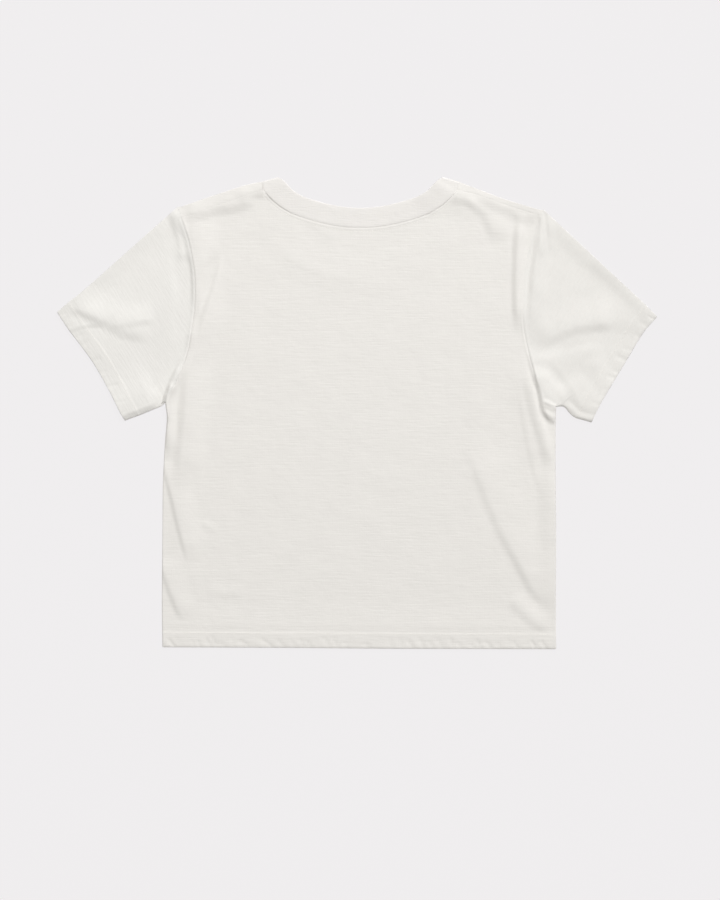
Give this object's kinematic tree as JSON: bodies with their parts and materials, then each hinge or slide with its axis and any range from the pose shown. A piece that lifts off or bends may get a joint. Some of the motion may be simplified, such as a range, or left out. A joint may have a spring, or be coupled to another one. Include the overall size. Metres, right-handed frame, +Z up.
{
  "type": "t-shirt",
  "caption": "Short-sleeved crew-neck t-shirt laid flat with its back up: boxy body, set-in sleeves, turned-up hems and a ribbed neckband.",
  "frame": {"origin": "centre of the bounding box at the level of the surface the t-shirt lies on", "axes": "+X towards the wearer's right sleeve, +Y from the hem towards the collar, +Z up out of the surface, so the back of the t-shirt faces +Z"},
  "size_m": [0.6714, 0.5284, 0.0068],
  "materials": {
    "jersey": "matt off-white cotton jersey with a fine knit and faint slubs",
    "rib": "matt off-white fine rib knit"
  },
  "bodies": {
    "root": {"front": "jersey", "back": "jersey", "sleeve_left": "jersey", "sleeve_right": "jersey", "neck_rib": "rib"}
  },
  "joints": []
}
